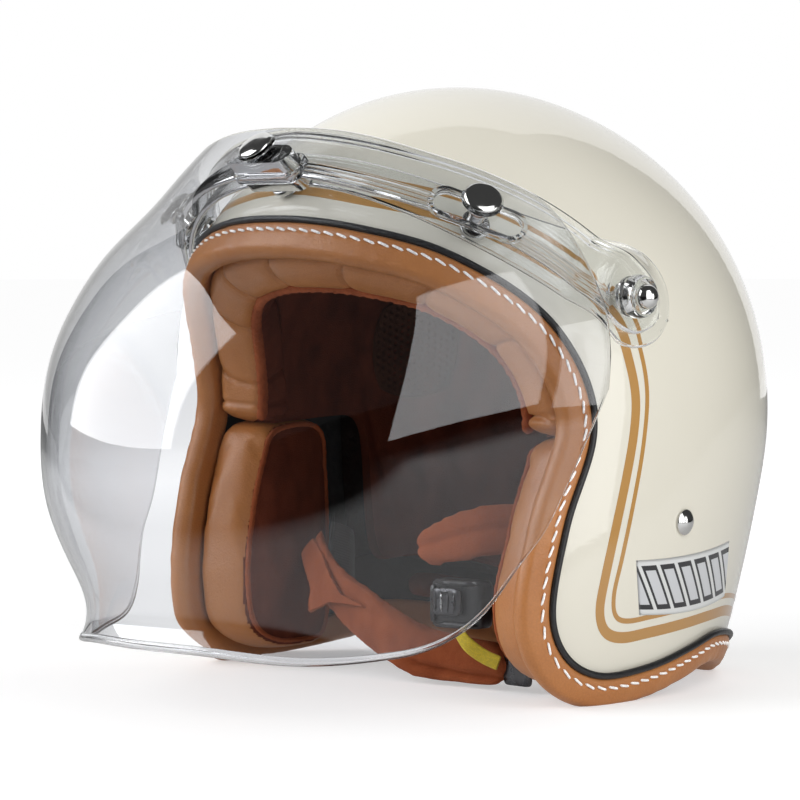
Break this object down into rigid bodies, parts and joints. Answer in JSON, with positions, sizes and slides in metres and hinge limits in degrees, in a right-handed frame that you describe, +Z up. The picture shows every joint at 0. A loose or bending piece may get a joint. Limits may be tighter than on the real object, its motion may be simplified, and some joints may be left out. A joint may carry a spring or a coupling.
{
  "type": "open face motorcycle helmet",
  "caption": "Open face motorcycle helmet with leather edge trim, cheek pads, chin strap and a clear bubble shield on a flip-up band.",
  "frame": {"origin": "middle of the helmet's footprint, on the surface that it stands on", "axes": "+Z up, -Y to the wearer's front, +X to the wearer's left"},
  "size_m": [0.2678, 0.3342, 0.247],
  "materials": {
    "cream_lacquer": "gloss lacquer over the moulded shell, with gold-tan pin stripes",
    "foam": "moulded bead foam",
    "suede": "brushed suede cloth",
    "net": "open spacer net",
    "tan_leather": "smooth tan leather with white seam thread",
    "black_rubber": "satin",
    "clear_plastic": "clear moulded plastic",
    "tinted_shield": "clear sheet with a light grey tint",
    "webbing": "flat woven webbing",
    "buckle_plastic": "black moulded plastic",
    "yellow_tape": "woven tape",
    "chrome": "polished"
  },
  "bodies": {
    "helmet": {"outer_shell": "cream_lacquer", "edge_trim": "tan_leather", "edge_piping": "black_rubber", "brow_pad": "tan_leather", "neck_roll": "suede", "foam_liner": "foam", "crown_liner": "suede", "cheek_pad_left": "tan_leather", "cheek_pad_right": "tan_leather", "net_panel_left": "net", "net_panel_right": "net", "visor_base_strip": "clear_plastic", "pivot_nut_left": "chrome", "pivot_nut_right": "chrome", "pivot_spacer_left": "clear_plastic", "pivot_spacer_right": "clear_plastic", "shell_stud_centre": "chrome", "base_socket_centre": "chrome", "shell_stud_left": "chrome", "base_socket_left": "chrome", "shell_stud_right": "chrome", "base_socket_right": "chrome", "strap_rivet_left": "chrome", "strap_rivet_right": "chrome"},
    "visor": {"flip_band": "clear_plastic", "pivot_collar_left": "clear_plastic", "pivot_collar_right": "clear_plastic", "bubble_shield": "tinted_shield", "band_stud_centre": "chrome", "shield_socket_centre": "chrome", "snap_washer_centre": "clear_plastic", "snap_cap_centre": "chrome", "band_stud_left": "chrome", "shield_socket_left": "chrome", "snap_washer_left": "clear_plastic", "snap_cap_left": "chrome", "band_stud_right": "chrome", "shield_socket_right": "chrome", "snap_washer_right": "clear_plastic", "snap_cap_right": "chrome"},
    "pivot_screw_left": {"pivot_screw_left": "chrome"},
    "pivot_screw_right": {"pivot_screw_right": "chrome"},
    "strap_left": {"strap_anchor_left": "chrome", "chin_strap_left": "webbing", "strap_pad_left": "suede", "buckle_body": "buckle_plastic", "release_tab": "yellow_tape"},
    "strap_right": {"strap_anchor_right": "chrome", "chin_strap_right": "webbing", "strap_pad_right": "suede", "buckle_tongue": "chrome"},
    "buckle_lever": {"buckle_lever": "chrome"},
    "strap_keeper": {"strap_keeper": "buckle_plastic"}
  },
  "joints": [
    {"name": "visor_flip", "type": "hinge", "parent": "helmet", "child": "visor", "pos_m": [0, 0.0017, 0.1608], "axis": [-1, 0, 0], "range_deg": [0, 60]},
    {"name": "pivot_screw_left_turn", "type": "hinge", "parent": "helmet", "child": "pivot_screw_left", "pos_m": [0.125, 0.0017, 0.1608], "axis": [1, 0, 0], "continuous": true},
    {"name": "pivot_screw_right_turn", "type": "hinge", "parent": "helmet", "child": "pivot_screw_right", "pos_m": [-0.125, 0.0017, 0.1608], "axis": [-1, 0, 0], "continuous": true},
    {"name": "strap_left_swing", "type": "hinge", "parent": "helmet", "child": "strap_left", "pos_m": [0.111, 0.0398, 0.0702], "axis": [1, 0, 0], "range_deg": [-12, 3]},
    {"name": "strap_right_swing", "type": "hinge", "parent": "helmet", "child": "strap_right", "pos_m": [-0.111, 0.0398, 0.0702], "axis": [1, 0, 0], "range_deg": [-3, 12]},
    {"name": "buckle_lever_lift", "type": "hinge", "parent": "strap_left", "child": "buckle_lever", "pos_m": [0.0455, -0.0173, 0.0368], "axis": [0, 0, 1], "range_deg": [0, 35], "stiffness_Nm_per_rad": 0.02},
    {"name": "strap_keeper_slide", "type": "slide", "parent": "strap_left", "child": "strap_keeper", "axis": [-0.4471, -0.8942, -0.0224], "range_m": [-0.003, 0.003]}
  ]
}
